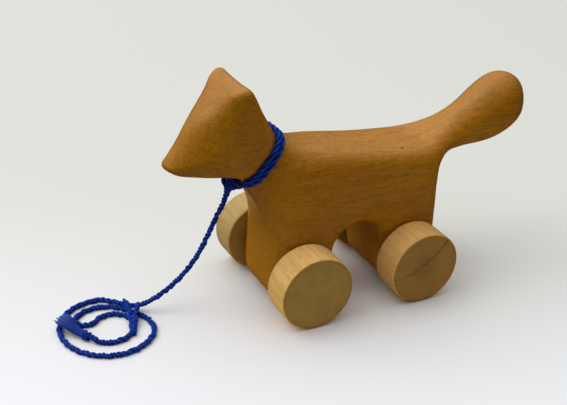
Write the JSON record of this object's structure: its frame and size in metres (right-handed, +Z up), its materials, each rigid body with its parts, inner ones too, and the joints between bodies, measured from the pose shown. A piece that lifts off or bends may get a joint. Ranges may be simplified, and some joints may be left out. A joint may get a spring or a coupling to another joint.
{
  "type": "pull-along toy",
  "caption": "Wooden pull-along toy animal: a carved body with a pointed head and a raised tail, turned wheels on dowel axles, and a knotted cord lead that ends in loose floor loops.",
  "frame": {"origin": "on the floor under the middle of the toy's length and width, cord left out", "axes": "+X towards the nose, +Y to the animal's left, +Z up"},
  "size_m": [0.2639, 0.0824, 0.1241],
  "materials": {
    "body_wood": "oiled, satin",
    "wheel_wood": "raw, matt",
    "cord": "twisted cotton cord"
  },
  "bodies": {
    "toy_body": {"body": "body_wood", "neck_collar": "cord", "collar_knot": "cord", "lead_cord": "cord", "cord_loops": "cord", "end_knot": "cord", "tassel": "cord"},
    "front_wheelset": {"front_axle": "wheel_wood", "front_left_wheel": "wheel_wood", "front_right_wheel": "wheel_wood"},
    "rear_wheelset": {"rear_axle": "wheel_wood", "rear_left_wheel": "wheel_wood", "rear_right_wheel": "wheel_wood"}
  },
  "joints": [
    {"name": "front_wheels_roll", "type": "hinge", "parent": "toy_body", "child": "front_wheelset", "pos_m": [0.0385, 0, 0.02], "axis": [0, 1, 0], "continuous": true},
    {"name": "rear_wheels_roll", "type": "hinge", "parent": "toy_body", "child": "rear_wheelset", "pos_m": [-0.0257, 0, 0.02], "axis": [0, 1, 0], "continuous": true}
  ]
}
